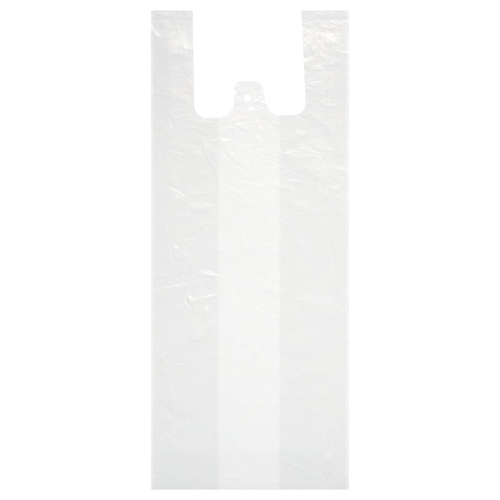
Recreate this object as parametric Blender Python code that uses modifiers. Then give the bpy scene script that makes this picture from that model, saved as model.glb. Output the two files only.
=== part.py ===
"""Plastic carrier bag: a gusseted, vest-shaped bag of thin white film, folded flat and lying on its back.

Metres, +Z up. X runs across the bag and +Y points to its handles. The origin is on the floor under the middle
of the bag. The bag is one piece of film: a tube whose sides are tucked in as gussets, welded across its
bottom and its handle tops, with the mouth punched through every layer. The film's wall is thicker than the
real one's so that it makes a solid.
"""

import functools
import math

import bmesh
import bpy
from mathutils import Matrix, Vector
from mathutils.geometry import intersect_point_line

# Size of the flat bag
BAG_LENGTH = 0.500
PANEL_WIDTH = 0.204
FRONT_SHIFT = 0.003
LEFT_GUSSET_DEPTH = 0.0703
RIGHT_GUSSET_DEPTH = 0.0725

# Film and how its layers lie on each other
FILM = 0.00022
LAYER_GAP = 0.00028
CELL = 0.014

# Welds across the bottom and the handle tops
WELD_FROM_EDGE = 0.010
WELD_WIDTH = 0.0016
WELD_SIDE_MARGIN = 0.001
WELD_FLAT_MARGIN = 0.004

# Mouth between the handles, measured from the level of its two lowest points
MOUTH_WIDTH = 0.1162
MOUTH_DEPTH = 0.1106
MOUTH_OFFSET = 0.0004
MOUTH_TURN = math.radians(1.9)
HANDLE_FLARE = math.radians(0.8)
MOUTH_CORNER_RADIUS = 0.012

# Tab between the handles, with the hole that hangs it on a rack
TAB_HEIGHT = 0.0372
TAB_TOP_WIDTH = 0.0264
TAB_FOOT_WIDTH = 0.0390
TAB_LEAN = math.radians(1.4)
TAB_TOP_RADIUS = 0.0055
TAB_FOOT_RADIUS = 0.016
HOLE_DIAMETER = 0.0076
HOLE_FROM_TAB_TOP = 0.0178
HOLE_OFFSET = -0.0020

# Slit torn open across the foot of the tab
SLIT_WIDTH = 0.0260
SLIT_PEAK = 0.0058
SLIT_PEAK_OFFSET = 0.0014
SLIT_LEVEL = 0.0064
LEFT_LIP_BOW = 0.9
RIGHT_LIP_BOW = 0.6

# Lift of the lying film above the floor
SWELL_HEIGHT = 0.0020
SWELL_LENGTH = 0.150
LIFT_BLEND = 0.030

# Main creases, sketched in millimetres on a flat bag of the size below and stretched with the bag.
# Each has a height, a half width and the points that its crest passes through.
SKETCH_WIDTH = 207.0
SKETCH_LENGTH = 500.0
CREASES = (
    (2.0, 14, ((55, 232), (70, 217), (84, 197))),
    (1.8, 14, ((-92, 205), (-75, 221), (-61, 204))),
    (1.7, 13, ((-68, 168), (-81, 148))),
    (1.5, 14, ((-100, 135), (-86, 138), (-67, 143), (-57, 145))),
    (2.6, 16, ((49, 140), (63, 134), (69, 125), (86, 111), (94, 93), (100, 81))),
    (2.0, 15, ((-32, 111), (-22, 99), (-8, 88), (2, 81))),
    (2.2, 15, ((32, 91), (52, 77), (71, 70), (89, 60), (103, 47))),
    (2.0, 15, ((32, 56), (47, 53), (63, 45), (78, 33), (89, 23), (94, 0), (97, -52))),
    (2.4, 15, ((-103, 37), (-89, 25), (-81, 16), (-77, 8), (-68, 11), (-52, 16))),
    (1.8, 14, ((-99, -30), (-79, -23), (-57, -22), (-33, -24))),
    (2.2, 15, ((0, -20), (21, -37), (32, -39), (52, -51))),
    (1.5, 14, ((-10, -53), (12, -66), (29, -71), (50, -79))),
    (1.7, 14, ((-66, -89), (-77, -104), (-99, -125))),
    (1.8, 15, ((-33, -71), (-54, -98), (-70, -112))),
    (2.0, 15, ((-32, -147), (-19, -153), (-5, -157), (11, -159), (29, -169))),
    (1.5, 14, ((-99, -156), (-77, -177))),
    (1.5, 14, ((-53, -169), (-68, -193))),
    (1.5, 13, ((55, -212), (57, -218), (78, -209))),
)

# Finish of the film
FILM_COLOUR = (0.86, 0.87, 0.87, 1.0)
FILM_ROUGHNESS = 0.38

# Places worked out from the sizes above
MM = 0.001
ARC_STEPS = 8
BAG_WIDTH = PANEL_WIDTH + FRONT_SHIFT
BACK_LEFT = -BAG_WIDTH / 2
BACK_RIGHT = BACK_LEFT + PANEL_WIDTH
FRONT_LEFT = BACK_LEFT + FRONT_SHIFT
FRONT_RIGHT = BACK_RIGHT + FRONT_SHIFT
LEFT_FOLD = BACK_LEFT + LEFT_GUSSET_DEPTH
RIGHT_FOLD = FRONT_RIGHT - RIGHT_GUSSET_DEPTH
LAYER_PITCH = FILM + LAYER_GAP
BOTTOM_EDGE = -BAG_LENGTH / 2
TOP_EDGE = BAG_LENGTH / 2
MOUTH_LEVEL = TOP_EDGE - MOUTH_DEPTH
FLAT_END = WELD_FROM_EDGE + WELD_FLAT_MARGIN
CUT_DEPTH = BAG_LENGTH
SKETCHED = [(height, half_width, [Vector((*p, 0.0)) for p in crest]) for height, half_width, crest in CREASES]


def empty_scene():
    for old in list(bpy.data.objects):
        bpy.data.objects.remove(old)


def new_collection(name):
    collection = bpy.data.collections.new(name)
    bpy.context.scene.collection.children.link(collection)
    return collection


def film_material():
    material = bpy.data.materials.new("white_film")
    material.use_nodes = True
    shader = material.node_tree.nodes["Principled BSDF"]
    shader.inputs["Base Color"].default_value = FILM_COLOUR
    shader.inputs["Roughness"].default_value = FILM_ROUGHNESS
    shader.inputs["Metallic"].default_value = 0.0
    return material


def smooth_step(share):
    share = min(max(share, 0.0), 1.0)
    return share * share * (3.0 - 2.0 * share)


def distance_to_line(point, start, end):
    """Distance from a point to the stretch between start and end."""
    nearest, share = intersect_point_line(point, start, end)
    if share < 0.0:
        nearest = start
    elif share > 1.0:
        nearest = end
    return (point - nearest).length


def crease_lift(point, height, half_width, crest):
    """Lift of one crease: a tent over its crest that runs out at its ends. All in sketch millimetres."""
    nearest = min(distance_to_line(point, start, end) for start, end in zip(crest, crest[1:]))
    return height * max(0.0, 1.0 - nearest / half_width)


@functools.cache
def lift(x, y):
    """Lift of the film above the floor at a point of the plan. It is none in the welded ends."""
    wave = 2.0 * math.pi / SWELL_LENGTH
    swell = 0.5 + 0.5 * math.sin(wave * (y + 0.6 * x)) * math.cos(wave * (0.9 * x - 0.2 * y))
    point = Vector((x / BAG_WIDTH * SKETCH_WIDTH, y / BAG_LENGTH * SKETCH_LENGTH, 0.0))
    creases = max(crease_lift(point, *crease) for crease in SKETCHED)
    from_end = BAG_LENGTH / 2 - abs(y) - FLAT_END
    return (SWELL_HEIGHT * swell + creases * MM) * smooth_step(from_end / LIFT_BLEND)


def even_steps(knots):
    """The knots in order, with even steps of about a cell between them."""
    knots = sorted(knots)
    places = [knots[0]]
    for start, end in zip(knots, knots[1:]):
        steps = max(1, round((end - start) / CELL))
        places += [start + (end - start) * step / steps for step in range(1, steps + 1)]
    return places


def section_points():
    """One walk round the folded tube as (x, lift place, layer). Layers count up from the floor."""
    runs = (
        (BACK_LEFT, BACK_RIGHT, 0, 1),
        (BACK_RIGHT, RIGHT_FOLD, 1, 2),
        (RIGHT_FOLD, FRONT_RIGHT, 2, 3),
        (FRONT_RIGHT, FRONT_LEFT, 3, 2),
        (FRONT_LEFT, LEFT_FOLD, 2, 1),
        (LEFT_FOLD, BACK_LEFT, 1, 0),
    )
    columns = even_steps((BACK_LEFT, FRONT_LEFT, LEFT_FOLD, RIGHT_FOLD, BACK_RIGHT, FRONT_RIGHT))
    points = []
    for start, end, layer, next_layer in runs:
        low, high = sorted((start, end))
        run = [x for x in columns if low - FILM / 2 < x < high + FILM / 2]
        outward = 1.0 if end > start else -1.0
        if outward < 0.0:
            run.reverse()
        points += [(x, x, layer) for x in run]
        points.append((end + outward * LAYER_PITCH / 2, end, (layer + next_layer) / 2))
    return points


def film_surface():
    """The film's middle surface: a flat grid of cells laid along the section, and closed into a tube."""
    section = section_points()
    rows = even_steps((BOTTOM_EDGE, BOTTOM_EDGE + FLAT_END, TOP_EDGE - FLAT_END, TOP_EDGE))
    bm = bmesh.new()
    bmesh.ops.create_grid(bm, x_segments=len(section), y_segments=len(rows) - 1, size=0.5)
    for vert in bm.verts:
        x, lift_x, layer = section[round((vert.co.x + 0.5) * len(section)) % len(section)]
        y = rows[round((vert.co.y + 0.5) * (len(rows) - 1))]
        vert.co = (x, y, FILM / 2 + layer * LAYER_PITCH + lift(lift_x, y))
    bmesh.ops.remove_doubles(bm, verts=bm.verts, dist=LAYER_PITCH / 10)
    follow_creases(bm)
    mesh = bpy.data.meshes.new("film_surface")
    bm.to_mesh(mesh)
    bm.free()
    return mesh


def follow_creases(bm):
    """Splits each cell along the diagonal that keeps nearer to the creases, alike in all layers."""
    for face in list(bm.faces):
        corners = face.verts[:]
        first = diagonal_error(corners[0].co, corners[2].co)
        second = diagonal_error(corners[1].co, corners[3].co)
        start = 0 if first <= second else 1
        bmesh.utils.face_split(face, corners[start], corners[start + 2])


def diagonal_error(start, end):
    middle = (start + end) / 2
    ends = (lift(start.x, start.y) + lift(end.x, end.y)) / 2
    return abs(lift(middle.x, middle.y) - ends)


def rounded_outline(corners):
    """Points of a closed outline. Each corner is (x, y, radius), and a radius of 0 keeps it sharp.

    A radius is limited where its arc would pass the middle of a side.
    """
    outline = []
    for index, (x, y, radius) in enumerate(corners):
        corner = Vector((x, y))
        before = Vector(corners[index - 1][:2]) - corner
        after = Vector(corners[(index + 1) % len(corners)][:2]) - corner
        half_angle = before.angle(after) / 2
        radius = min(radius, min(before.length, after.length) / 2 * math.tan(half_angle))
        if radius == 0.0:
            outline.append(corner)
            continue
        before.normalize()
        after.normalize()
        centre = corner + (before + after).normalized() * radius / math.sin(half_angle)
        start = corner + before * radius / math.tan(half_angle) - centre
        sweep = math.pi - 2 * half_angle
        turn = math.copysign(sweep, start.cross(corner - centre))
        for step in range(ARC_STEPS + 1):
            outline.append(centre + Matrix.Rotation(turn * step / ARC_STEPS, 2) @ start)
    return outline


def mouth_place():
    """Frame of the mouth's punch: its origin is midway between the two lowest points of the mouth."""
    return Matrix.Translation((MOUTH_OFFSET, MOUTH_LEVEL, 0.0)) @ Matrix.Rotation(MOUTH_TURN, 4, "Z")


def tab_place():
    return mouth_place() @ Matrix.Rotation(TAB_LEAN, 4, "Z")


def mouth_corners():
    """Corners of the punched mouth in its own frame, round the tab that it leaves standing."""
    half_width = MOUTH_WIDTH / 2
    past_top = MOUTH_DEPTH + BAG_WIDTH * math.sin(MOUTH_TURN)
    half_top = half_width - past_top * math.tan(HANDLE_FLARE)
    tab_turn = Matrix.Rotation(TAB_LEAN, 2)
    tab_left = tab_turn @ Vector((-TAB_TOP_WIDTH / 2, TAB_HEIGHT))
    tab_right = tab_turn @ Vector((TAB_TOP_WIDTH / 2, TAB_HEIGHT))
    return (
        (-half_top, past_top, 0.0),
        (-half_width, 0.0, MOUTH_CORNER_RADIUS),
        (-TAB_FOOT_WIDTH / 2, 0.0, TAB_FOOT_RADIUS),
        (*tab_left, TAB_TOP_RADIUS),
        (*tab_right, TAB_TOP_RADIUS),
        (TAB_FOOT_WIDTH / 2, 0.0, TAB_FOOT_RADIUS),
        (half_width, 0.0, MOUTH_CORNER_RADIUS),
        (half_top, past_top, 0.0),
    )


def slit_points():
    """Outline of the slit: a straight lower edge, and lips that bow up to a peak right of its middle."""
    left_tip = Vector((-SLIT_WIDTH / 2, 0.0))
    right_tip = Vector((SLIT_WIDTH / 2, 0.0))
    peak = Vector((SLIT_PEAK_OFFSET, SLIT_PEAK))
    foot = Vector((SLIT_PEAK_OFFSET, 0.0))
    left_lip = bowed(left_tip, foot, peak, LEFT_LIP_BOW)
    right_lip = bowed(peak, foot, right_tip, RIGHT_LIP_BOW)
    return [left_tip, *left_lip, peak, *right_lip, right_tip]


def bowed(start, corner, end, bow):
    """Inner points of a curve from start to end. A bow of 0 is straight, and 1 is drawn to the corner."""
    pull = ((start + end) / 2).lerp(corner, bow)
    shares = [step / ARC_STEPS for step in range(1, ARC_STEPS)]
    return [start.lerp(pull, share).lerp(pull.lerp(end, share), share) for share in shares]


def punch(name, outline, place, collection):
    """A cutter that goes through every layer: a filled outline with depth, as a closed mesh."""
    curve = bpy.data.curves.new(name, "CURVE")
    curve.dimensions = "2D"
    curve.fill_mode = "BOTH"
    curve.extrude = CUT_DEPTH / 2
    spline = curve.splines.new("POLY")
    spline.points.add(len(outline) - 1)
    for point, (x, y) in zip(spline.points, outline):
        point.co = (x, y, 0.0, 1.0)
    spline.use_cyclic_u = True
    curve_object = bpy.data.objects.new(name + "_outline", curve)
    collection.objects.link(curve_object)
    evaluated = curve_object.evaluated_get(bpy.context.evaluated_depsgraph_get())
    mesh = bpy.data.meshes.new_from_object(evaluated)
    bpy.data.objects.remove(curve_object)
    return cutter(name, mesh, place, collection)


def hole_punch(collection):
    bm = bmesh.new()
    radius = HOLE_DIAMETER / 2
    bmesh.ops.create_cone(bm, cap_ends=True, segments=32, radius1=radius, radius2=radius, depth=CUT_DEPTH)
    mesh = bpy.data.meshes.new("hole_punch")
    bm.to_mesh(mesh)
    bm.free()
    place = tab_place() @ Matrix.Translation((HOLE_OFFSET, TAB_HEIGHT - HOLE_FROM_TAB_TOP, 0.0))
    return cutter("hole_punch", mesh, place, collection)


def weld_bar(name, y, collection):
    """The fused line that joins all layers, from the middle of the back film to that of the front film."""
    left = FRONT_LEFT + WELD_SIDE_MARGIN
    right = BACK_RIGHT - WELD_SIDE_MARGIN
    height = 3 * LAYER_PITCH
    bm = bmesh.new()
    bmesh.ops.create_cube(bm, size=1.0)
    bmesh.ops.scale(bm, vec=(right - left, WELD_WIDTH, height), verts=bm.verts)
    mesh = bpy.data.meshes.new(name)
    bm.to_mesh(mesh)
    bm.free()
    place = Matrix.Translation(((left + right) / 2, y, FILM / 2 + height / 2))
    return cutter(name, mesh, place, collection)


def cutter(name, mesh, place, collection):
    """A helper shape that only takes part in a Boolean, with its faces joined and pointing out."""
    bm = bmesh.new()
    bm.from_mesh(mesh)
    bmesh.ops.remove_doubles(bm, verts=bm.verts, dist=MM / 1000)
    bmesh.ops.recalc_face_normals(bm, faces=bm.faces)
    bm.to_mesh(mesh)
    bm.free()
    helper = bpy.data.objects.new(name, mesh)
    helper.matrix_world = place
    helper.hide_render = True
    helper.display_type = "WIRE"
    collection.objects.link(helper)
    return helper


def add_boolean(bag, helper, operation):
    boolean = bag.modifiers.new(helper.name, "BOOLEAN")
    boolean.operation = operation
    boolean.solver = "EXACT"
    boolean.object = helper


def carrier_bag(parts, cutters):
    """The whole bag: the folded film given its wall, welded at both ends, then punched and torn."""
    bag = bpy.data.objects.new("carrier_bag", film_surface())
    bag.data.materials.append(film_material())
    parts.objects.link(bag)
    wall = bag.modifiers.new("wall", "SOLIDIFY")
    wall.thickness = FILM
    wall.offset = 0.0
    wall.use_even_offset = True
    add_boolean(bag, weld_bar("bottom_weld", BOTTOM_EDGE + WELD_FROM_EDGE, cutters), "UNION")
    add_boolean(bag, weld_bar("handle_weld", TOP_EDGE - WELD_FROM_EDGE, cutters), "UNION")
    mouth = punch("mouth_punch", rounded_outline(mouth_corners()), mouth_place(), cutters)
    add_boolean(bag, mouth, "DIFFERENCE")
    add_boolean(bag, hole_punch(cutters), "DIFFERENCE")
    slit_place = mouth_place() @ Matrix.Translation((0.0, SLIT_LEVEL, 0.0))
    add_boolean(bag, punch("slit_cut", slit_points(), slit_place, cutters), "DIFFERENCE")
    return bag


def main():
    empty_scene()
    parts = new_collection("plastic_carrier_bag")
    cutters = new_collection("cutters")
    carrier_bag(parts, cutters)


main()
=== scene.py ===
"""Looks of a plastic carrier bag: thin, translucent white film, folded flat, creased, and lying on its back.

The film is one surface, as the real one is: a tube whose sides are tucked in as gussets, so that four layers
lie under the sides and two under the middle. Every layer is cut from the same plan of triangles, whose edges
follow the outline, the folds, the welds and the creases, so that creases are crisp and layers never cross.
Lengths are in millimetres on the flat bag until the film is made, and +Y points to the handles.
"""

import math

import bpy
import numpy as np
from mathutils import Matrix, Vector
from mathutils.geometry import delaunay_2d_cdt
from mathutils.kdtree import KDTree

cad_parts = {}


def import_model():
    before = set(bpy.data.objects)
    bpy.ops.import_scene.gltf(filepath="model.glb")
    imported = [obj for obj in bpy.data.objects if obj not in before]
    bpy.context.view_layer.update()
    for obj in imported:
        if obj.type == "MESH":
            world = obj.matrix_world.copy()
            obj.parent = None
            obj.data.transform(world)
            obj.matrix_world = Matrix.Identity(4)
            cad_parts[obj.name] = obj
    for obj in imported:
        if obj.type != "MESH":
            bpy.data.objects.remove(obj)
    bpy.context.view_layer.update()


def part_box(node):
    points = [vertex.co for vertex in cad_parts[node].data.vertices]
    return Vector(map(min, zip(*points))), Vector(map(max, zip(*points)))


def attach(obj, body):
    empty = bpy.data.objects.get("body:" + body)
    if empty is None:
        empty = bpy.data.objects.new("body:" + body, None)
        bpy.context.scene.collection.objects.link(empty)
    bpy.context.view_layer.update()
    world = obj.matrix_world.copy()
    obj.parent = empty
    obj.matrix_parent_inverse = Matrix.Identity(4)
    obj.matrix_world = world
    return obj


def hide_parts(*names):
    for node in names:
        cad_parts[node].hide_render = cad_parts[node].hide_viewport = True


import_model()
bag_low, bag_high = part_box("carrier_bag")

MM = 0.001

# The flat bag: its length from the frame's box, its width and folds as the photograph shows them
BAG_LENGTH = (bag_high.y - bag_low.y) / MM
BAG_WIDTH = 207.0
FRONT_SHIFT = 3.0
LEFT_GUSSET_DEPTH = 70.3
RIGHT_GUSSET_DEPTH = 72.5
BACK_LEFT = -BAG_WIDTH / 2
FRONT_LEFT = BACK_LEFT + FRONT_SHIFT
FRONT_RIGHT = BAG_WIDTH / 2
BACK_RIGHT = FRONT_RIGHT - FRONT_SHIFT
LEFT_FOLD = BACK_LEFT + LEFT_GUSSET_DEPTH
RIGHT_FOLD = FRONT_RIGHT - RIGHT_GUSSET_DEPTH
TOP_EDGE = BAG_LENGTH / 2
BOTTOM_EDGE = -TOP_EDGE

# Welds
WELD_FROM_EDGE = 10.0
WELD_WIDTH = 1.2

# Mouth, tab, hanging hole and torn slit, in the mouth's own frame. The tab's corners are (x, y, radius).
MOUTH_WIDTH = 116.2
MOUTH_DEPTH = 110.6
MOUTH_OFFSET = 0.4
MOUTH_TURN = math.radians(1.9)
HANDLE_FLARE = math.radians(0.8)
MOUTH_CORNER_RADIUS = 12.0
TAB_FOOT_LEFT = (-18.0, 0.0, 17.0)
TAB_TOP_LEFT = (-15.0, 37.5, 7.0)
TAB_TOP_RIGHT = (12.4, 36.7, 5.5)
TAB_FOOT_RIGHT = (19.5, 0.0, 16.0)
HOLE_DIAMETER = 7.9
HOLE_CENTRE = (-2.5, 19.4)
SLIT_WIDTH = 26.0
SLIT_PEAK = 5.8
SLIT_PEAK_OFFSET = 1.4
SLIT_LEVEL = 6.4
LEFT_LIP_BOW = 0.9
RIGHT_LIP_BOW = 0.8

# Film mesh. Its filling points are uneven, and clear of lines, by shares of the spacing.
SPACING = 2.2
UNEVENNESS = 0.2
CLEAR_OF_LINES = 0.62
CREST_INSET = 0.5
MERGE_DISTANCE = 1e-4
FOLD_TOLERANCE = 1e-3
ARC_STEPS = 10
HOLE_STEPS = 32
LAYER_PITCH = 0.10
WELDED_PITCH = 0.08
WELD_BLEND = 2.0
SEED = 7

# Photograph's frame, in which the crease places below are given
PHOTO_SIZE = 500
PHOTO_CENTRE = (250.1, 250.05)
MM_PER_PIXEL = 1.0432

# Lift of the lying film above the floor. Its swell is two crossing waves that run in these directions.
FLOOR_CLEARANCE = 0.06
SWELL_HEIGHT = 0.6
SWELL_LENGTH = 150.0
SWELL_ALONG = (0.6, 1.0)
SWELL_ACROSS = (0.9, -0.2)
FLAT_END = 14.0
LIFT_BLEND = 30.0
BODY_LIFT = 1.1
SIDE_BLEND = 22.0
EDGE_LIFT = 0.15

# Creases as (height, width of its left flank, width of its right flank, places along its crest).
# Left and right are as seen when walking along the crest. Creases are walked from left to right or downwards.
LEFT_HANDLE_CREASES = (
    (0.15, 4, 15, ((154, 20.5), (175, 20), (193, 21))),
    (0.3, 3, 3, ((157, 26), (162, 20), (167, 15), (172, 21), (178, 14), (184, 20), (190, 16))),
    (0.5, 6, 3, ((168, 12), (171.5, 18), (175, 12))),
    (0.4, 5, 3, ((168, 20), (165, 24), (159.5, 31))),
    (0.4, 4, 3, ((176.5, 21), (177.5, 28), (178.7, 36))),
    (1.3, 16, 12, ((160, 55.5), (177, 55), (193, 57))),
    (0.6, 14, 6, ((154, 66), (168, 69), (180, 70))),
    (0.9, 20, 3, ((154, 94), (163, 95.5), (177, 97.5))),
    (-0.5, 3, 3, ((177.3, 70), (172, 80), (168.5, 89.5))),
    (0.5, 9, 3, ((183, 71), (188, 75), (194, 80))),
    (0.7, 9, 3, ((186, 80), (190, 84), (194, 86))),
    (0.6, 3.5, 10, ((187, 88), (180, 96), (172, 107))),
    (0.3, 7, 2.5, ((187, 94.5), (183, 98), (179, 102))),
    (0.5, 7, 2.5, ((156, 73.6), (157, 85), (154.4, 94))),
    (0.25, 2, 5, ((153.7, 117.9), (166.6, 114.3), (182, 110), (194, 108.6))),
    (0.25, 2, 5, ((153.7, 123.6), (169.4, 119.3), (188, 115.7), (197, 114.3))),
)
UPPER_LEFT_CREASES = (
    (0.9, 12, 5, ((157, 138), (164, 137), (169.5, 130), (169.5, 122))),
    (0.25, 2.5, 5, ((184.4, 127), (197, 128), (205, 133.6))),
    (0.3, 3, 2.5, ((218, 118.6), (209.4, 123.6), (202.3, 131.4), (200.9, 137))),
    (0.5, 6, 2.5, ((156.6, 132.9), (160, 137), (156.6, 153), (158, 170))),
    (0.5, 5, 5, ((161.6, 145), (178, 145.5), (190.9, 149), (205, 155.5))),
    (0.3, 3, 5, ((162.3, 148), (170.9, 152.4), (183.7, 155.3), (202.3, 157))),
    (0.7, 9, 4, ((203, 138.6), (204.4, 151.4), (209.4, 160), (218, 173))),
    (0.5, 9, 6, ((160, 182), (170, 183), (180, 184))),
    (0.5, 4, 12, ((157, 183.5), (167, 188), (177, 192.5), (189.5, 199))),
    (0.6, 7, 4, ((183, 193), (195, 195), (217, 193))),
    (0.9, 8, 6, ((186, 204), (195, 208.5), (203, 210), (215, 205))),
    (0.3, 4, 4, ((205, 214), (212, 210), (217, 210))),
    (0.35, 2, 3, (
        (151.6, 213.6), (163.7, 222.9), (169.4, 230), (175, 238.6), (177.3, 242), (182.3, 242), (185, 238.6),
    )),
    (0.25, 2, 5, ((152.3, 217), (162.3, 224.3), (168, 231.5), (173.7, 240))),
    (0.2, 2.5, 4, ((186.6, 241), (192, 239), (198, 236))),
)
LOWER_LEFT_CREASES = (
    (0.6, 5, 2.5, ((174.4, 243.6), (175, 255.7), (179.4, 262))),
    (0.4, 5, 6, ((185, 251.4), (189.4, 263), (193.7, 270))),
    (0.6, 5, 5, ((196, 273.5), (207, 274), (218, 276))),
    (0.25, 2.5, 4, ((177.3, 272), (186, 271.5), (193.7, 271.5))),
    (0.4, 5, 6, ((155, 275), (164, 276), (173, 274.5))),
    (0.25, 2.5, 4, ((155, 280), (164, 277), (173.7, 274))),
    (0.45, 3.5, 9, ((157.3, 291), (166.6, 288), (176.6, 286.5), (191, 285))),
    (0.5, 3, 3, ((198.7, 281.4), (196, 286), (193, 291))),
    (0.3, 3, 3, ((205, 281.5), (210, 280.5), (218, 279))),
    (0.4, 2.5, 5, ((187.3, 293.6), (189.4, 297), (193, 300.5), (198, 298.5), (218, 295))),
    (0.6, 5, 3.5, ((188, 295), (190, 301), (194.5, 307))),
    (0.35, 3, 6, ((169.4, 313.5), (178.7, 306.7), (185, 304), (191, 308))),
    (0.6, 9, 6, ((192, 318), (193.5, 330), (193, 345))),
    (0.6, 5, 5, ((205, 306), (207, 314), (206, 322))),
    (0.8, 12, 5.5, ((218, 318), (208, 328), (197, 339), (195, 349))),
    (0.7, 12, 4, ((186, 333), (175, 345), (165, 355), (153, 366))),
    (0.3, 2.5, 3, ((171.6, 362.5), (176.6, 365), (186.6, 365))),
    (0.2, 2.5, 3, ((171, 340), (175, 341), (180, 340))),
    (-0.9, 12, 14, ((155, 400), (166, 409), (175, 418.6), (166, 430), (156.6, 440))),
    (-0.8, 12, 12, ((198, 413), (191, 424), (185, 435.7), (181, 451))),
    (0.2, 2.5, 3, ((181.6, 453), (184, 449), (186.6, 445.7))),
    (0.3, 3, 3, ((175, 468), (178, 472), (180, 478))),
)
CENTRE_CREASES = (
    (0.8, 9, 3, ((219, 144), (229, 155), (242, 166), (252, 172), (254, 176))),
    (0.4, 5, 5, ((220, 132), (232, 128), (246, 124))),
    (0.4, 5, 4, ((224, 124), (236, 121), (252, 117))),
    (0.4, 4, 5, ((248, 128), (258, 126), (264, 131), (262, 137))),
    (0.4, 5, 3, ((236, 146), (246, 149), (256, 145), (268, 147))),
    (0.4, 5, 4, ((252, 154), (262, 152), (276, 156))),
    (0.3, 4, 4, ((220, 198), (228, 188), (238, 180))),
    (0.3, 4, 4, ((222, 205), (230, 194), (240, 184))),
    (0.3, 3.5, 5, ((240, 183), (255, 185), (270, 186))),
    (0.3, 4, 4, ((266, 201), (273, 200), (277, 195))),
    (0.4, 7, 5, ((226, 243), (232, 251), (237, 260))),
    (0.35, 3, 3, ((242.3, 264.3), (235.5, 271), (234.4, 279))),
    (0.3, 2.5, 3, ((219.4, 275.7), (228, 280), (235, 287), (241, 296))),
    (0.25, 2.5, 3, ((220, 279), (227, 283), (233, 290), (238, 297))),
    (0.4, 3, 4, ((250, 271.5), (259.4, 277.5), (268, 285.3))),
    (0.5, 4.5, 6, ((245, 278), (256.6, 281), (267, 287), (276, 290), (283, 291), (291, 295), (301, 301))),
    (0.3, 3, 3, ((261, 287), (255, 293), (248, 299))),
    (0.3, 2.5, 4, ((239, 301), (251, 306), (259, 310.5), (268, 315.5), (279, 317.5), (291, 323), (301, 328))),
    (0.25, 2.5, 3, ((233, 319.6), (237, 320), (241, 320))),
    (0.3, 4, 4, ((254, 329), (245, 339), (241, 359))),
    (0.5, 14, 12, ((232, 335), (237, 352), (241, 370))),
    (0.5, 8, 12, ((245, 361), (251, 366), (254, 386), (255, 396))),
    (0.4, 3, 6, ((219, 390.7), (228, 394.8), (237, 399), (245, 402), (263.7, 402.5), (268, 408), (278, 411))),
    (0.5, 10, 12, ((222, 420), (236, 428), (246, 440))),
    (0.4, 10, 10, ((262, 428), (252, 445), (240, 462))),
    (0.4, 8, 8, ((232, 466), (243, 474), (252, 487))),
)
RIGHT_HANDLE_CREASES = (
    (0.15, 4, 12, ((312, 21), (322, 20.5), (334, 21))),
    (0.4, 4, 9, ((333, 24), (340, 25), (347, 28))),
    (0.35, 2.2, 3, ((304, 32), (310, 37), (317, 42.5), (325, 52), (329.4, 60.7), (333, 68), (345, 73))),
    (0.25, 2.5, 3, ((303, 27), (312, 35), (322, 46), (331, 59))),
    (0.25, 4, 4, ((308, 14), (328, 28), (348, 42))),
    (0.25, 4, 4, ((318, 13), (334, 24), (348, 34))),
    (0.35, 5, 4, ((320, 34), (334, 42), (348, 52))),
    (0.35, 4, 4, ((305, 46), (316, 56), (330, 71))),
    (0.35, 5, 5, ((324, 44), (336, 54), (348, 64))),
    (1.2, 22, 12, ((304, 88.5), (318, 89.5), (332, 89), (347, 90))),
    (0.4, 5, 7, ((324, 111), (335, 112.5), (345, 110.5))),
    (0.3, 3, 3, ((306, 104), (309.5, 98), (311, 94))),
)
UPPER_RIGHT_CREASES = (
    (0.25, 2, 3.5, ((307, 103), (313, 104.5), (320, 107.5), (332, 116))),
    (0.3, 2, 3.5, ((306, 111), (318, 118.5), (325, 124), (333, 138))),
    (0.25, 2, 3.5, ((314, 113), (328, 115.5), (337, 118), (347, 121))),
    (-1.6, 8, 26, ((298, 115), (309, 121), (318, 129), (325, 138), (333, 150), (339, 164), (345, 178))),
    (1.1, 22, 6, ((279, 157.5), (290, 162), (306.6, 170.5), (319.4, 177), (334, 186))),
    (0.4, 10, 3, ((280, 158.6), (295, 159.5), (312, 156.2), (322, 159))),
    (0.25, 2.5, 4, ((280, 165.3), (291, 172.4), (305, 181), (319.4, 185.3))),
    (0.3, 3, 7, ((280, 179), (298, 181.7), (316.6, 186))),
    (0.3, 2, 2.5, ((316.6, 181), (332.3, 188), (347, 194.5))),
    (0.2, 3, 3, ((303, 146), (314, 152), (328, 158))),
    (0.2, 3, 3, ((296, 134), (308, 138), (320, 148))),
    (0.2, 3, 3, ((313, 160), (322, 168), (330, 175))),
    (0.2, 3, 3, ((318, 158), (328, 166), (337, 174))),
    (0.7, 6, 14, ((280, 202), (295, 203.5), (305, 207.5), (315, 213.5), (322, 220))),
    (0.75, 7, 12, ((308, 217.5), (321, 223.5), (329, 231), (332, 241), (333, 252))),
    (0.4, 4, 8, ((280, 220.5), (285, 223), (291, 228))),
    (0.6, 12, 5, ((322, 192.5), (333, 203), (342, 213), (346, 222))),
    (0.3, 4, 4, ((326, 208), (334, 220), (340, 236), (344, 254))),
)
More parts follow.
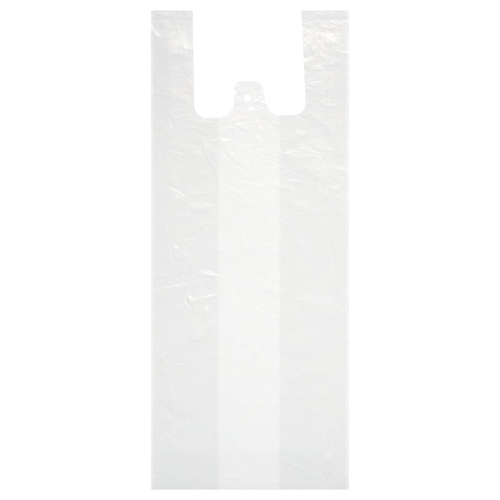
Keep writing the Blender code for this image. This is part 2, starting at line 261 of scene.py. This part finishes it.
LOWER_RIGHT_CREASES = (
    (0.5, 7, 4, ((329.4, 233), (333.7, 247), (338, 267), (339.4, 293))),
    (0.4, 5, 4, ((325, 240), (329, 256), (332, 276), (333, 300))),
    (0.4, 8, 10, ((300, 238), (305, 252), (309, 262))),
    (0.7, 14, 14, ((297, 299), (312, 304), (327, 312), (347, 325))),
    (0.4, 4, 4, ((303, 309), (307, 304), (311, 308))),
    (0.5, 14, 14, ((282, 352), (300, 345), (316, 330))),
    (0.5, 14, 14, ((284, 384), (300, 374), (318, 370), (334, 374))),
    (0.25, 2.5, 3, ((307, 410.5), (314, 410.5), (321, 413.5))),
    (0.3, 2.5, 3, ((302.3, 453), (305, 460), (318, 454.3), (326.6, 450.5))),
    (1.0, 6, 9, ((325, 451), (329.4, 460), (330, 468.6), (326.6, 478))),
    (0.3, 6, 6, ((284, 462), (300, 468), (312, 478))),
    (0.25, 2.5, 2.5, ((344.5, 477), (342, 482), (339.4, 488))),
    (0.3, 4, 3, ((331, 470), (333, 478), (337, 484))),
    (0.15, 2, 2, (
        (330.5, 20), (329, 70), (327.5, 100), (326.5, 160), (325.5, 240), (326, 330), (329, 400), (330, 450),
    )),
)
TAB_CREASES = (
    (0.25, 3, 3, ((236, 88), (239, 92), (243, 95))),
    (0.2, 2.5, 2.5, ((244, 87), (244, 93))),
    (0.4, 4, 2.5, ((253.5, 103.5), (258, 100.5), (264, 98))),
    (0.35, 2.5, 2, ((238.5, 109), (245, 108), (249, 105.5))),
    (0.35, 2.5, 2, ((254, 105), (258, 107.8), (264, 109))),
)

# Share of those heights that the film keeps in each region
CREASE_REGIONS = (
    (0.32, LEFT_HANDLE_CREASES),
    (0.47, UPPER_LEFT_CREASES),
    (0.95, LOWER_LEFT_CREASES),
    (0.32, CENTRE_CREASES),
    (0.22, RIGHT_HANDLE_CREASES),
    (0.34, UPPER_RIGHT_CREASES),
    (0.95, LOWER_RIGHT_CREASES),
    (0.30, TAB_CREASES),
)

# Both ends of a crease fall to a share of its height, over a share of its length
END_HEIGHT = 0.15
END_TAPER = 0.3

# Flanks up to the narrow width are pinched to a share of it
NARROW_FLANK = 4.0
PINCH = 0.6

# Small creases strewn between the mapped ones. They grow weaker towards the bottom. Their lengths, heights
# and flanks are ranges, and their slant is a mean and a spread in degrees.
SMALL_CREASES = 420
SMALL_CREASE_LENGTH = (8.0, 34.0)
SMALL_CREASE_HEIGHT = (0.06, 0.26)
SMALL_CREASE_FLANK = (2.5, 7.0)
SMALL_CREASE_SLANT = (-30.0, 38.0)
SMALL_CREASE_BEND = 1.2
SMALL_CREASE_FADE = 0.35

# Film's finish. Its sizes are in metres.
COOL_FILM = (0.962, 0.974, 0.984, 1.0)
WARM_FILM = (0.970, 0.972, 0.973, 1.0)
CLOUD_SIZE = 0.018
CLOUD_DETAIL = 4.0
NOISE_RANGE = (0.35, 0.65)

# Film's painted shade along the bag, as (share of its length from the bottom, colour). It is darker towards
# both ends, most towards the bottom, where it is also bluer: painted shade where the light falls off.
END_SHADE_STOPS = (
    (0.0, (0.910, 0.918, 0.929, 1.0)),
    (0.03, (0.951, 0.958, 0.967, 1.0)),
    (0.09, (0.971, 0.978, 0.986, 1.0)),
    (0.22, (0.988, 0.993, 0.998, 1.0)),
    (0.50, (0.992, 0.996, 0.998, 1.0)),
    (0.72, (1.0, 1.0, 1.0, 1.0)),
    (0.82, (1.0, 0.995, 0.998, 1.0)),
)
FILM_OPACITY = 0.68
FILM_ROUGHNESS = (0.16, 0.24)
FILM_IOR = 1.6

# Crumple between the creases, as (size, detail, distortion, share of its height, whether it is slanted)
CRUMPLES = (
    (0.012, 3.0, 0.8, 1.0, True),
    (0.005, 2.0, 0.4, 0.6, True),
    (0.0016, 1.0, 0.0, 0.3, False),
)
CRUMPLE_HEIGHT = 0.0004
CRUMPLE_SLANT = 30.0
CRUMPLE_STRETCH = 0.55

# Light, floor and camera, in metres and watts
KEY_PLACE = (0.13, 0.58, 1.10)
KEY_AIM = (0.06, -0.245, 0.0)
KEY_SIZE = 0.6
KEY_SPREAD = 60.0
KEY_POWER = 1.26
KEY_COLOUR = (1.0, 0.93, 0.84)
FILL_COLOUR = (0.965, 0.985, 1.01)
FILL_STRENGTH = 0.69
FLOOR_SIZE = 6.0
FLOOR_COLOUR = (0.3, 0.3, 0.3, 1.0)
FLOOR_GLOW = 0.78
CAMERA_LENS = 100.0


def place_on_bag(photo_x, photo_y):
    """Millimetres on the flat bag for a place in the photograph's frame."""
    x = (photo_x - PHOTO_CENTRE[0]) * MM_PER_PIXEL
    y = (PHOTO_CENTRE[1] - photo_y) * MM_PER_PIXEL
    return x, y


def turned(angle):
    cosine, sine = math.cos(angle), math.sin(angle)
    return np.array(((cosine, -sine), (sine, cosine)))


def smooth_step(share):
    share = np.clip(share, 0.0, 1.0)
    return share * share * (3.0 - 2.0 * share)


# Outlines punched through the film

def rounded_outline(corners):
    """Points of a closed outline. Each corner is (x, y, radius), and a radius of 0 keeps it sharp."""
    outline = []
    for index, (x, y, radius) in enumerate(corners):
        corner = Vector((x, y))
        if radius == 0.0:
            outline.append(tuple(corner))
            continue
        before = (Vector(corners[index - 1][:2]) - corner).normalized()
        after = (Vector(corners[(index + 1) % len(corners)][:2]) - corner).normalized()
        half_angle = before.angle(after) / 2
        centre = corner + (before + after).normalized() * radius / math.sin(half_angle)
        start = corner + before * radius / math.tan(half_angle) - centre
        turn = math.copysign(math.pi - 2 * half_angle, start.cross(corner - centre))
        for step in range(ARC_STEPS + 1):
            outline.append(tuple(np.array(centre) + turned(turn * step / ARC_STEPS) @ np.array(start)))
    return np.array(outline)


def on_bag(points):
    """From the mouth's own frame, between its two lowest points, to the flat bag."""
    return points @ turned(MOUTH_TURN).T + (MOUTH_OFFSET, TOP_EDGE - MOUTH_DEPTH)


def mouth_outline():
    half_width = MOUTH_WIDTH / 2
    past_top = MOUTH_DEPTH + BAG_WIDTH * math.sin(MOUTH_TURN)
    half_top = half_width - past_top * math.tan(HANDLE_FLARE)
    corners = (
        (-half_top, past_top, 0.0),
        (-half_width, 0.0, MOUTH_CORNER_RADIUS),
        TAB_FOOT_LEFT,
        TAB_TOP_LEFT,
        TAB_TOP_RIGHT,
        TAB_FOOT_RIGHT,
        (half_width, 0.0, MOUTH_CORNER_RADIUS),
        (half_top, past_top, 0.0),
    )
    return on_bag(rounded_outline(corners))


def hole_outline():
    turns = np.linspace(0.0, 2.0 * math.pi, HOLE_STEPS, endpoint=False)
    ring = np.stack((np.cos(turns), np.sin(turns)), axis=1) * HOLE_DIAMETER / 2
    return on_bag(ring + HOLE_CENTRE)


def bowed(start, corner, end, bow):
    """Inner points of a curve from start to end. A bow of 0 is straight, and 1 is drawn to the corner."""
    start, corner, end = (np.array(point) for point in (start, corner, end))
    pull = (start + end) / 2 * (1.0 - bow) + corner * bow
    shares = [step / ARC_STEPS for step in range(1, ARC_STEPS)]
    return [(1 - s) ** 2 * start + 2 * s * (1 - s) * pull + s * s * end for s in shares]


def slit_outline():
    left_tip = (-SLIT_WIDTH / 2, 0.0)
    right_tip = (SLIT_WIDTH / 2, 0.0)
    peak = (SLIT_PEAK_OFFSET, SLIT_PEAK)
    foot = (SLIT_PEAK_OFFSET, 0.0)
    left_lip = bowed(left_tip, foot, peak, LEFT_LIP_BOW)
    right_lip = bowed(peak, foot, right_tip, RIGHT_LIP_BOW)
    outline = np.array([left_tip, *left_lip, peak, *right_lip, right_tip])
    return on_bag(outline + (0.0, SLIT_LEVEL))


def inside(points, outline):
    """Whether each point lies inside a closed outline."""
    crossings = np.zeros(len(points), bool)
    x, y = points[:, 0], points[:, 1]
    for (ax, ay), (bx, by) in zip(outline, np.roll(outline, -1, axis=0)):
        if ay == by:
            continue
        spans = (ay > y) != (by > y)
        crossings ^= spans & (x < (bx - ax) * (y - ay) / (by - ay) + ax)
    return crossings


# Creases

def small_creases():
    """Short creases strewn over the bag, in the form of the mapped ones."""
    random = np.random.default_rng(SEED)
    creases = []
    for _ in range(SMALL_CREASES):
        middle = random.uniform((BACK_LEFT, BOTTOM_EDGE), (FRONT_RIGHT, TOP_EDGE))
        angle = math.radians(random.normal(*SMALL_CREASE_SLANT))
        half = random.uniform(*SMALL_CREASE_LENGTH) / 2 * np.array((math.cos(angle), math.sin(angle)))
        bend = random.normal(0.0, SMALL_CREASE_BEND, 2)
        rise = (middle[1] - BOTTOM_EDGE) / BAG_LENGTH
        height = random.uniform(*SMALL_CREASE_HEIGHT) * (SMALL_CREASE_FADE + (1.0 - SMALL_CREASE_FADE) * rise)
        flanks = random.uniform(*SMALL_CREASE_FLANK, 2)
        creases.append((height, *flanks, np.array((middle - half, middle + bend, middle + half))))
    return creases


def mapped_crease(height, left_flank, right_flank, crest):
    """One crease of the map on the bag, with its narrow flanks pinched to a sharp line."""
    flanks = [flank * PINCH if flank <= NARROW_FLANK else flank for flank in (left_flank, right_flank)]
    if max(left_flank, right_flank) <= NARROW_FLANK:
        height *= PINCH
    return (height, *flanks, np.array([place_on_bag(*point) for point in crest]))


def mapped_creases():
    return [
        mapped_crease(height * relief, *shape)
        for relief, region in CREASE_REGIONS
        for height, *shape in region
    ]


def crease_lift(points, height, left_flank, right_flank, crest):
    """Lift of one crease: highest along its crest, with two even flanks, and lower towards its ends."""
    nearest = np.full(len(points), np.inf)
    side = np.zeros(len(points))
    along = np.zeros(len(points))
    lengths = np.linalg.norm(np.diff(crest, axis=0), axis=1)
    walked = 0.0
    for start, end, length in zip(crest, crest[1:], lengths):
        run = (end - start) / length
        offset = points - start
        share = np.clip(offset @ run, 0.0, length)
        away = offset - share[:, None] * run
        distance = np.hypot(away[:, 0], away[:, 1])
        closer = distance < nearest
        nearest[closer] = distance[closer]
        side[closer] = (run[0] * offset[:, 1] - run[1] * offset[:, 0])[closer]
        along[closer] = (walked + share)[closer]
        walked += length
    flank = np.where(side > 0.0, left_flank, right_flank)
    from_end = np.minimum(along, walked - along) / (END_TAPER * walked)
    return height * np.clip(np.minimum(1.0, END_HEIGHT + from_end) - nearest / flank, 0.0, 1.0)


def film_lift(points, creases):
    """Lift of the film above the floor at each point of the plan."""
    x, y = points[:, 0], points[:, 1]
    wave = 2.0 * math.pi / SWELL_LENGTH
    swell = np.sin(wave * (points @ SWELL_ALONG)) * np.cos(wave * (points @ SWELL_ACROSS))
    lift = SWELL_HEIGHT * (1.0 + swell) / 2
    from_end = TOP_EDGE - np.abs(y)
    from_side = np.minimum(x - BACK_LEFT, FRONT_RIGHT - x)
    inner = smooth_step((from_end - FLAT_END) / LIFT_BLEND)
    lift = (lift + BODY_LIFT * smooth_step(from_side / SIDE_BLEND)) * inner + EDGE_LIFT
    for height, left_flank, right_flank, crest in creases:
        reach = max(left_flank, right_flank)
        near = np.all((points > crest.min(axis=0) - reach) & (points < crest.max(axis=0) + reach), axis=1)
        lift[near] += crease_lift(points[near], height, left_flank, right_flank, crest)
    return np.maximum(lift, 0.0)


def foot_lines(left_flank, right_flank, crest):
    """Where narrow flanks of a crease run out."""
    runs = np.diff(crest, axis=0)
    runs /= np.linalg.norm(runs, axis=1)[:, None]
    turns = np.vstack((runs[:1], runs[:-1] + runs[1:], runs[-1:]))
    turns /= np.linalg.norm(turns, axis=1)[:, None]
    left = np.stack((-turns[:, 1], turns[:, 0]), axis=1)
    for width in (left_flank, -right_flank):
        if abs(width) <= NARROW_FLANK:
            yield crest + left * width


# Plan of triangles that all layers share

class PlanLines:
    """Lines that the plan's triangles have to follow, as points joined by edges."""

    def __init__(self):
        self.points = []
        self.edges = []

    def add(self, line, closed=False):
        line = [np.array(point, float) for point in line]
        if closed:
            line.append(line[0])
        self.points.append(line[0])
        for start, end in zip(line, line[1:]):
            steps = max(1, round(np.linalg.norm(end - start) / SPACING))
            for step in range(1, steps + 1):
                self.points.append(start + (end - start) * step / steps)
                self.edges.append((len(self.points) - 2, len(self.points) - 1))


def straight_lines():
    """Folds and edges along the bag, then ends and welds across it."""
    for x in (BACK_LEFT, FRONT_LEFT, LEFT_FOLD, RIGHT_FOLD, BACK_RIGHT, FRONT_RIGHT):
        yield ((x, BOTTOM_EDGE), (x, TOP_EDGE))
    for end in (-1.0, 1.0):
        weld = end * (TOP_EDGE - WELD_FROM_EDGE)
        for y in (end * TOP_EDGE, weld - WELD_WIDTH / 2, weld, weld + WELD_WIDTH / 2):
            yield ((BACK_LEFT, y), (FRONT_RIGHT, y))


def clipped(crest):
    """A crest whose points past the bag's edges are moved to just inside them."""
    x = np.clip(crest[:, 0], BACK_LEFT + CREST_INSET, FRONT_RIGHT - CREST_INSET)
    y = np.clip(crest[:, 1], BOTTOM_EDGE + CREST_INSET, TOP_EDGE - CREST_INSET)
    return np.stack((x, y), axis=1)


def plan(mapped, small):
    """Points and triangles of the flat bag. Its lines follow the creases, and the feet of the mapped ones."""
    lines = PlanLines()
    for line in straight_lines():
        lines.add(line)
    outlines = (mouth_outline(), hole_outline(), slit_outline())
    for outline in outlines:
        lines.add(outline, closed=True)
    for _, _, _, crest in mapped + small:
        lines.add(clipped(crest))
    for _, left_flank, right_flank, crest in mapped:
        for foot in foot_lines(left_flank, right_flank, crest):
            lines.add(clipped(foot))
    points = [Vector(point) for point in lines.points + list(filling_points(lines.points))]
    places, _, triangles, *_ = delaunay_2d_cdt(points, lines.edges, [], 0, MERGE_DISTANCE, True)
    places = np.array([tuple(p) for p in places])
    triangles = np.array(triangles)
    middles = places[triangles].mean(axis=1)
    kept = ~np.logical_or.reduce([inside(middles, outline) for outline in outlines])
    kept &= (np.abs(middles[:, 0]) < BAG_WIDTH / 2) & (np.abs(middles[:, 1]) < TOP_EDGE)
    return places, triangles[kept]


def filling_points(line_points):
    """Slightly uneven rows of points between the lines, kept clear of them."""
    random = np.random.default_rng(SEED)
    tree = KDTree(len(line_points))
    for index, point in enumerate(line_points):
        tree.insert((*point, 0.0), index)
    tree.balance()
    row_height = SPACING * math.sqrt(3.0) / 2
    for row, y in enumerate(np.arange(BOTTOM_EDGE + row_height, TOP_EDGE, row_height)):
        for x in np.arange(BACK_LEFT + SPACING * (0.5 + 0.5 * (row % 2)), FRONT_RIGHT, SPACING):
            point = np.array((x, y)) + random.uniform(-UNEVENNESS, UNEVENNESS, 2) * SPACING
            _, _, distance = tree.find((*point, 0.0))
            if distance > CLEAR_OF_LINES * SPACING:
                yield point


# The folded film

def layer_runs():
    """The film's runs across the bag in one walk round the tube: (start, end, layer, next layer)."""
    return (
        (BACK_LEFT, BACK_RIGHT, 0, 1),
        (BACK_RIGHT, RIGHT_FOLD, 1, 2),
        (RIGHT_FOLD, FRONT_RIGHT, 2, 3),
        (FRONT_RIGHT, FRONT_LEFT, 3, 2),
        (FRONT_LEFT, LEFT_FOLD, 2, 1),
        (LEFT_FOLD, BACK_LEFT, 1, 0),
    )


def layer_pitch(y):
    """Distance between layers, which are squeezed together in the welds."""
    from_weld = np.abs(TOP_EDGE - np.abs(y) - WELD_FROM_EDGE) - WELD_WIDTH / 2
    return WELDED_PITCH + (LAYER_PITCH - WELDED_PITCH) * smooth_step(from_weld / WELD_BLEND)


class FilmBuilder:
    """Collects the film's vertices and faces, layer by layer."""

    def __init__(self, places, triangles, lift):
        self.places = places
        self.triangles = triangles
        self.lift = lift
        self.pitch = layer_pitch(places[:, 1])
        self.vertices = []
        self.faces = []
        self.index = {}

    def vertex(self, point, run, layer, shift=0.0):
        key = (point, run, layer)
        if key not in self.index:
            x, y = self.places[point]
            z = FLOOR_CLEARANCE + layer * self.pitch[point] + self.lift[point]
            self.index[key] = len(self.vertices)
            self.vertices.append((x + shift, y, z))
        return self.index[key]

    def add_run(self, run, start, end, layer):
        low, high = sorted((start, end))
        middles = self.places[self.triangles][:, :, 0].mean(axis=1)
        for corners in self.triangles[(middles > low) & (middles < high)]:
            face = [self.vertex(point, run, layer) for point in corners]
            if layer % 2 == 0:
                face.reverse()
            self.faces.append(face)

    def add_fold(self, run, next_run, start, end, layer, next_layer):
        """The bend that joins the end of one run to the start of the next."""
        outward = math.copysign(LAYER_PITCH / 2, end - start)
        middle_layer = (layer + next_layer) / 2
        for a, b in self.fold_edges(run, layer, end):
            rows = []
            for point in (a, b):
                bend = self.vertex(point, (run, "fold"), middle_layer, outward)
                rows.append((self.vertex(point, run, layer), bend, self.vertex(point, next_run, next_layer)))
            for low, high in ((0, 1), (1, 2)):
                self.faces.append([rows[0][low], rows[1][low], rows[1][high], rows[0][high]])

    def fold_edges(self, run, layer, x):
        """Neighbouring points on the fold at x that a triangle of the plan joins, in order along the bag."""
        on_fold = np.abs(self.places[:, 0] - x) < FOLD_TOLERANCE
        held = [p for p in np.flatnonzero(on_fold) if (p, run, layer) in self.index]
        held.sort(key=lambda p: self.places[p, 1])
        touching = self.triangles[on_fold[self.triangles].sum(axis=1) > 1]
        linked = {tuple(sorted(edge)) for corners in touching for edge in zip(corners, np.roll(corners, 1))}
        return [(a, b) for a, b in zip(held, held[1:]) if tuple(sorted((a, b))) in linked]


def film_mesh():
    mapped, small = mapped_creases(), small_creases()
    places, triangles = plan(mapped, small)
    builder = FilmBuilder(places, triangles, film_lift(places, mapped + small))
    runs = layer_runs()
    for run, (start, end, layer, _) in enumerate(runs):
        builder.add_run(run, start, end, layer)
    for run, (start, end, layer, next_layer) in enumerate(runs):
        builder.add_fold(run, (run + 1) % len(runs), start, end, layer, next_layer)
    mesh = bpy.data.meshes.new("bag_film")
    mesh.from_pydata(np.array(builder.vertices) * MM, [], builder.faces)
    return mesh


# Shader nodes

def added(nodes, kind, **settings):
    """A new node with the given settings."""
    node = nodes.new(kind)
    for name, value in settings.items():
        setattr(node, name, value)
    return node


def ridged_noise(nodes, links, places, size, detail, distortion):
    """Noise folded at its middle: patches between crisp lines, of about the given size in metres."""
    noise = added(nodes, "ShaderNodeTexNoise")
    noise.inputs["Scale"].default_value = 1.0 / size
    noise.inputs["Detail"].default_value = detail
    noise.inputs["Distortion"].default_value = distortion
    links.new(places, noise.inputs["Vector"])
    from_middle = added(nodes, "ShaderNodeMath", operation="SUBTRACT")
    from_middle.inputs[1].default_value = 0.5
    links.new(noise.outputs["Fac"], from_middle.inputs[0])
    folded = added(nodes, "ShaderNodeMath", operation="ABSOLUTE")
    links.new(from_middle.outputs[0], folded.inputs[0])
    return folded.outputs[0]


def weighted_sum(nodes, links, parts):
    """Sum of (socket, weight) pairs."""
    total = None
    for socket, weight in parts:
        scaled = added(nodes, "ShaderNodeMath", operation="MULTIPLY_ADD")
        scaled.inputs[1].default_value = weight
        scaled.inputs[2].default_value = 0.0
        links.new(socket, scaled.inputs[0])
        if total is not None:
            links.new(total, scaled.inputs[2])
        total = scaled.outputs[0]
    return total


def mapped_range(nodes, links, socket, low, high):
    """Carries the range in which a noise mostly lies to the values low to high."""
    node = added(nodes, "ShaderNodeMapRange")
    node.inputs["From Min"].default_value = NOISE_RANGE[0]
    node.inputs["From Max"].default_value = NOISE_RANGE[1]
    node.inputs["To Min"].default_value = low
    node.inputs["To Max"].default_value = high
    links.new(socket, node.inputs["Value"])
    return node.outputs["Result"]


# Film's material

def painted_end_shade(nodes, links, places):
    """Painted shade along the bag, from its bottom at 0 to its handles at 1: the film's colour made darker
    towards both ends, where the light falls off.
    """
    split = added(nodes, "ShaderNodeSeparateXYZ")
    links.new(places, split.inputs["Vector"])
    rise = added(nodes, "ShaderNodeMapRange")
    rise.inputs["From Min"].default_value = BOTTOM_EDGE * MM
    rise.inputs["From Max"].default_value = TOP_EDGE * MM
    links.new(split.outputs["Y"], rise.inputs["Value"])
    ramp = added(nodes, "ShaderNodeValToRGB")
    stops = ramp.color_ramp.elements
    while len(stops) < len(END_SHADE_STOPS):
        stops.new(1.0)
    for stop, (position, colour) in zip(stops, END_SHADE_STOPS):
        stop.position = position
        stop.color = colour
    links.new(rise.outputs["Result"], ramp.inputs["Fac"])
    return ramp.outputs["Color"]


def film_material():
    material = bpy.data.materials.new("white_film")
    material.use_nodes = True
    nodes, links = material.node_tree.nodes, material.node_tree.links
    shader = nodes["Principled BSDF"]
    shader.inputs["Alpha"].default_value = FILM_OPACITY
    shader.inputs["IOR"].default_value = FILM_IOR

    on_bag_places = added(nodes, "ShaderNodeTexCoord").outputs["Object"]
    slanted = added(nodes, "ShaderNodeMapping")
    slanted.inputs["Rotation"].default_value = (0.0, 0.0, math.radians(CRUMPLE_SLANT))
    slanted.inputs["Scale"].default_value = (CRUMPLE_STRETCH, 1.0, 1.0)
    links.new(on_bag_places, slanted.inputs["Vector"])
    slanted_places = slanted.outputs["Vector"]
    crumple = weighted_sum(nodes, links, [
        (ridged_noise(nodes, links, slanted_places if is_slanted else on_bag_places, *form), weight)
        for *form, weight, is_slanted in CRUMPLES
    ])
    bump = added(nodes, "ShaderNodeBump")
    bump.inputs["Distance"].default_value = CRUMPLE_HEIGHT
    links.new(crumple, bump.inputs["Height"])
    links.new(bump.outputs["Normal"], shader.inputs["Normal"])

    cloud = added(nodes, "ShaderNodeTexNoise")
    cloud.inputs["Scale"].default_value = 1.0 / CLOUD_SIZE
    cloud.inputs["Detail"].default_value = CLOUD_DETAIL
    links.new(slanted_places, cloud.inputs["Vector"])
    tint = added(nodes, "ShaderNodeMix", data_type="RGBA")
    tint.inputs["A"].default_value = COOL_FILM
    tint.inputs["B"].default_value = WARM_FILM
    links.new(mapped_range(nodes, links, cloud.outputs["Fac"], 0.0, 1.0), tint.inputs["Factor"])
    # The random tint, times the painted shade that darkens the film towards both ends
    shaded = added(nodes, "ShaderNodeMix", data_type="RGBA", blend_type="MULTIPLY")
    shaded.inputs["Factor"].default_value = 1.0
    links.new(tint.outputs["Result"], shaded.inputs["A"])
    links.new(painted_end_shade(nodes, links, on_bag_places), shaded.inputs["B"])
    links.new(shaded.outputs["Result"], shader.inputs["Base Color"])
    links.new(mapped_range(nodes, links, cloud.outputs["Fac"], *FILM_ROUGHNESS), shader.inputs["Roughness"])
    return material


def film():
    piece = bpy.data.objects.new("bag_film", film_mesh())
    bpy.context.scene.collection.objects.link(piece)
    piece.data.materials.append(film_material())
    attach(piece, "root")
    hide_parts("carrier_bag")
    tube_width = sum(abs(end - start) for start, end, *_ in layer_runs())


# Floor, light and camera

def camera_sees(nodes, links):
    """1 for rays that show a background: those of the camera, of gloss and through glass."""
    path = added(nodes, "ShaderNodeLightPath")
    seen_or_mirrored = added(nodes, "ShaderNodeMath", operation="ADD")
    links.new(path.outputs["Is Camera Ray"], seen_or_mirrored.inputs[0])
    links.new(path.outputs["Is Glossy Ray"], seen_or_mirrored.inputs[1])
    total = added(nodes, "ShaderNodeMath", operation="ADD", use_clamp=True)
    links.new(seen_or_mirrored.outputs[0], total.inputs[0])
    links.new(path.outputs["Is Transmission Ray"], total.inputs[1])
    return total.outputs[0]


def floor():
    bpy.ops.mesh.primitive_plane_add(size=FLOOR_SIZE)
    plane = bpy.context.object
    plane.name = "floor"
    material = bpy.data.materials.new("pale_floor")
    material.use_nodes = True
    nodes, links = material.node_tree.nodes, material.node_tree.links
    shader = nodes["Principled BSDF"]
    shader.inputs["Base Color"].default_value = FLOOR_COLOUR
    shader.inputs["Roughness"].default_value = 1.0
    shader.inputs["Specular IOR Level"].default_value = 0.0
    shader.inputs["Emission Color"].default_value = (1.0, 1.0, 1.0, 1.0)
    glow = added(nodes, "ShaderNodeMath", operation="MULTIPLY")
    glow.inputs[1].default_value = FLOOR_GLOW
    links.new(camera_sees(nodes, links), glow.inputs[0])
    links.new(glow.outputs[0], shader.inputs["Emission Strength"])
    plane.data.materials.append(material)


def world():
    sky = bpy.data.worlds.new("studio")
    bpy.context.scene.world = sky
    sky.use_nodes = True
    nodes, links = sky.node_tree.nodes, sky.node_tree.links
    fill = nodes["Background"]
    fill.inputs["Color"].default_value = (*FILL_COLOUR, 1.0)
    fill.inputs["Strength"].default_value = FILL_STRENGTH
    white = added(nodes, "ShaderNodeBackground")
    white.inputs["Color"].default_value = (1.0, 1.0, 1.0, 1.0)
    mix = added(nodes, "ShaderNodeMixShader")
    links.new(camera_sees(nodes, links), mix.inputs[0])
    links.new(fill.outputs[0], mix.inputs[1])
    links.new(white.outputs[0], mix.inputs[2])
    links.new(mix.outputs[0], nodes["World Output"].inputs["Surface"])


def key_light():
    """A softbox beyond the handles, whose grid narrows its light."""
    lamp = bpy.data.lights.new("softbox", "AREA")
    lamp.shape = "SQUARE"
    lamp.size = KEY_SIZE
    lamp.energy = KEY_POWER
    lamp.color = KEY_COLOUR
    lamp.spread = math.radians(KEY_SPREAD)
    holder = bpy.data.objects.new("softbox", lamp)
    holder.location = KEY_PLACE
    aim = Vector(KEY_AIM) - holder.location
    holder.rotation_mode = "QUATERNION"
    holder.rotation_quaternion = aim.to_track_quat("-Z", "Y")
    bpy.context.scene.collection.objects.link(holder)


def camera():
    """Looks straight down, with the photograph's whole frame across its picture."""
    lens = bpy.data.cameras.new("camera")
    lens.lens = CAMERA_LENS
    holder = bpy.data.objects.new("camera", lens)
    span = PHOTO_SIZE * MM_PER_PIXEL * MM
    middle = place_on_bag(PHOTO_SIZE / 2, PHOTO_SIZE / 2)
    holder.location = (middle[0] * MM, middle[1] * MM, span * CAMERA_LENS / lens.sensor_width)
    bpy.context.scene.collection.objects.link(holder)
    bpy.context.scene.camera = holder


film()
floor()
world()
key_light()
camera()
bpy.context.scene.view_settings.view_transform = "Standard"
